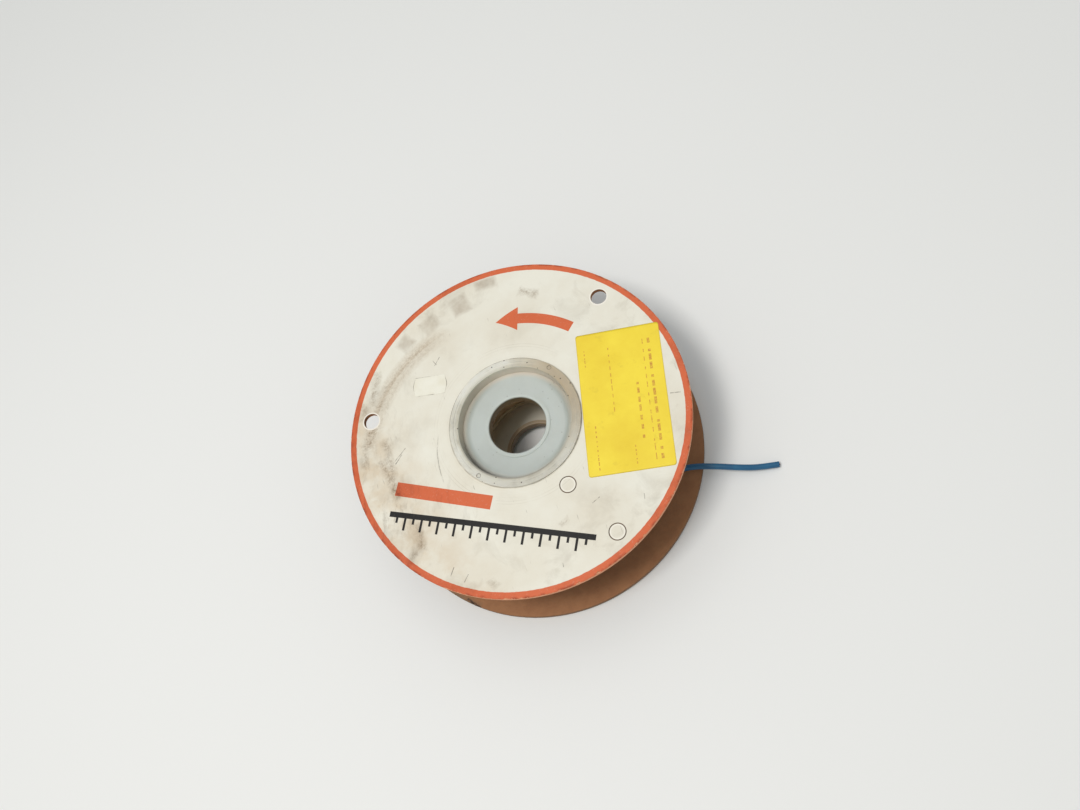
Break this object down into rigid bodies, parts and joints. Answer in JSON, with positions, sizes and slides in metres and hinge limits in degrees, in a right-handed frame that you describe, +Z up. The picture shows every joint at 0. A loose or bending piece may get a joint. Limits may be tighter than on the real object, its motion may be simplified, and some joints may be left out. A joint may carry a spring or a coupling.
{
  "type": "hardboard-flanged cable drum",
  "caption": "Small cable drum: two board flanges on a tube barrel, dished hub bushes with a spindle bore, and a winding of thin flex with its free end out.",
  "frame": {"origin": "on the drum's axis, at the middle of the face that it lies on, the lower hub bush's rim", "axes": "+Z up along the drum's axis; +Y away from the picture's camera, +X to its right; the free end leaves towards +X -Y"},
  "size_m": [0.2104, 0.2, 0.0644],
  "materials": {
    "printed_board": "printed hardboard, satin, scuffed",
    "brown_board": "bare hardboard, matt",
    "tube_board": "wound cardboard, matt",
    "hub_plastic": "natural polythene, satin, slightly translucent",
    "cable_sheath": "blue pvc, satin",
    "label_paper": "yellow paper, matt",
    "sticker_paper": "white paper, matt"
  },
  "bodies": {
    "root": {"top_flange": "printed_board", "bottom_flange": "brown_board", "barrel_tube": "tube_board", "top_hub_bush": "hub_plastic", "bottom_hub_bush": "hub_plastic", "cable_winding": "cable_sheath", "cable_tail": "cable_sheath", "paper_label": "label_paper", "price_sticker": "sticker_paper"}
  },
  "joints": []
}
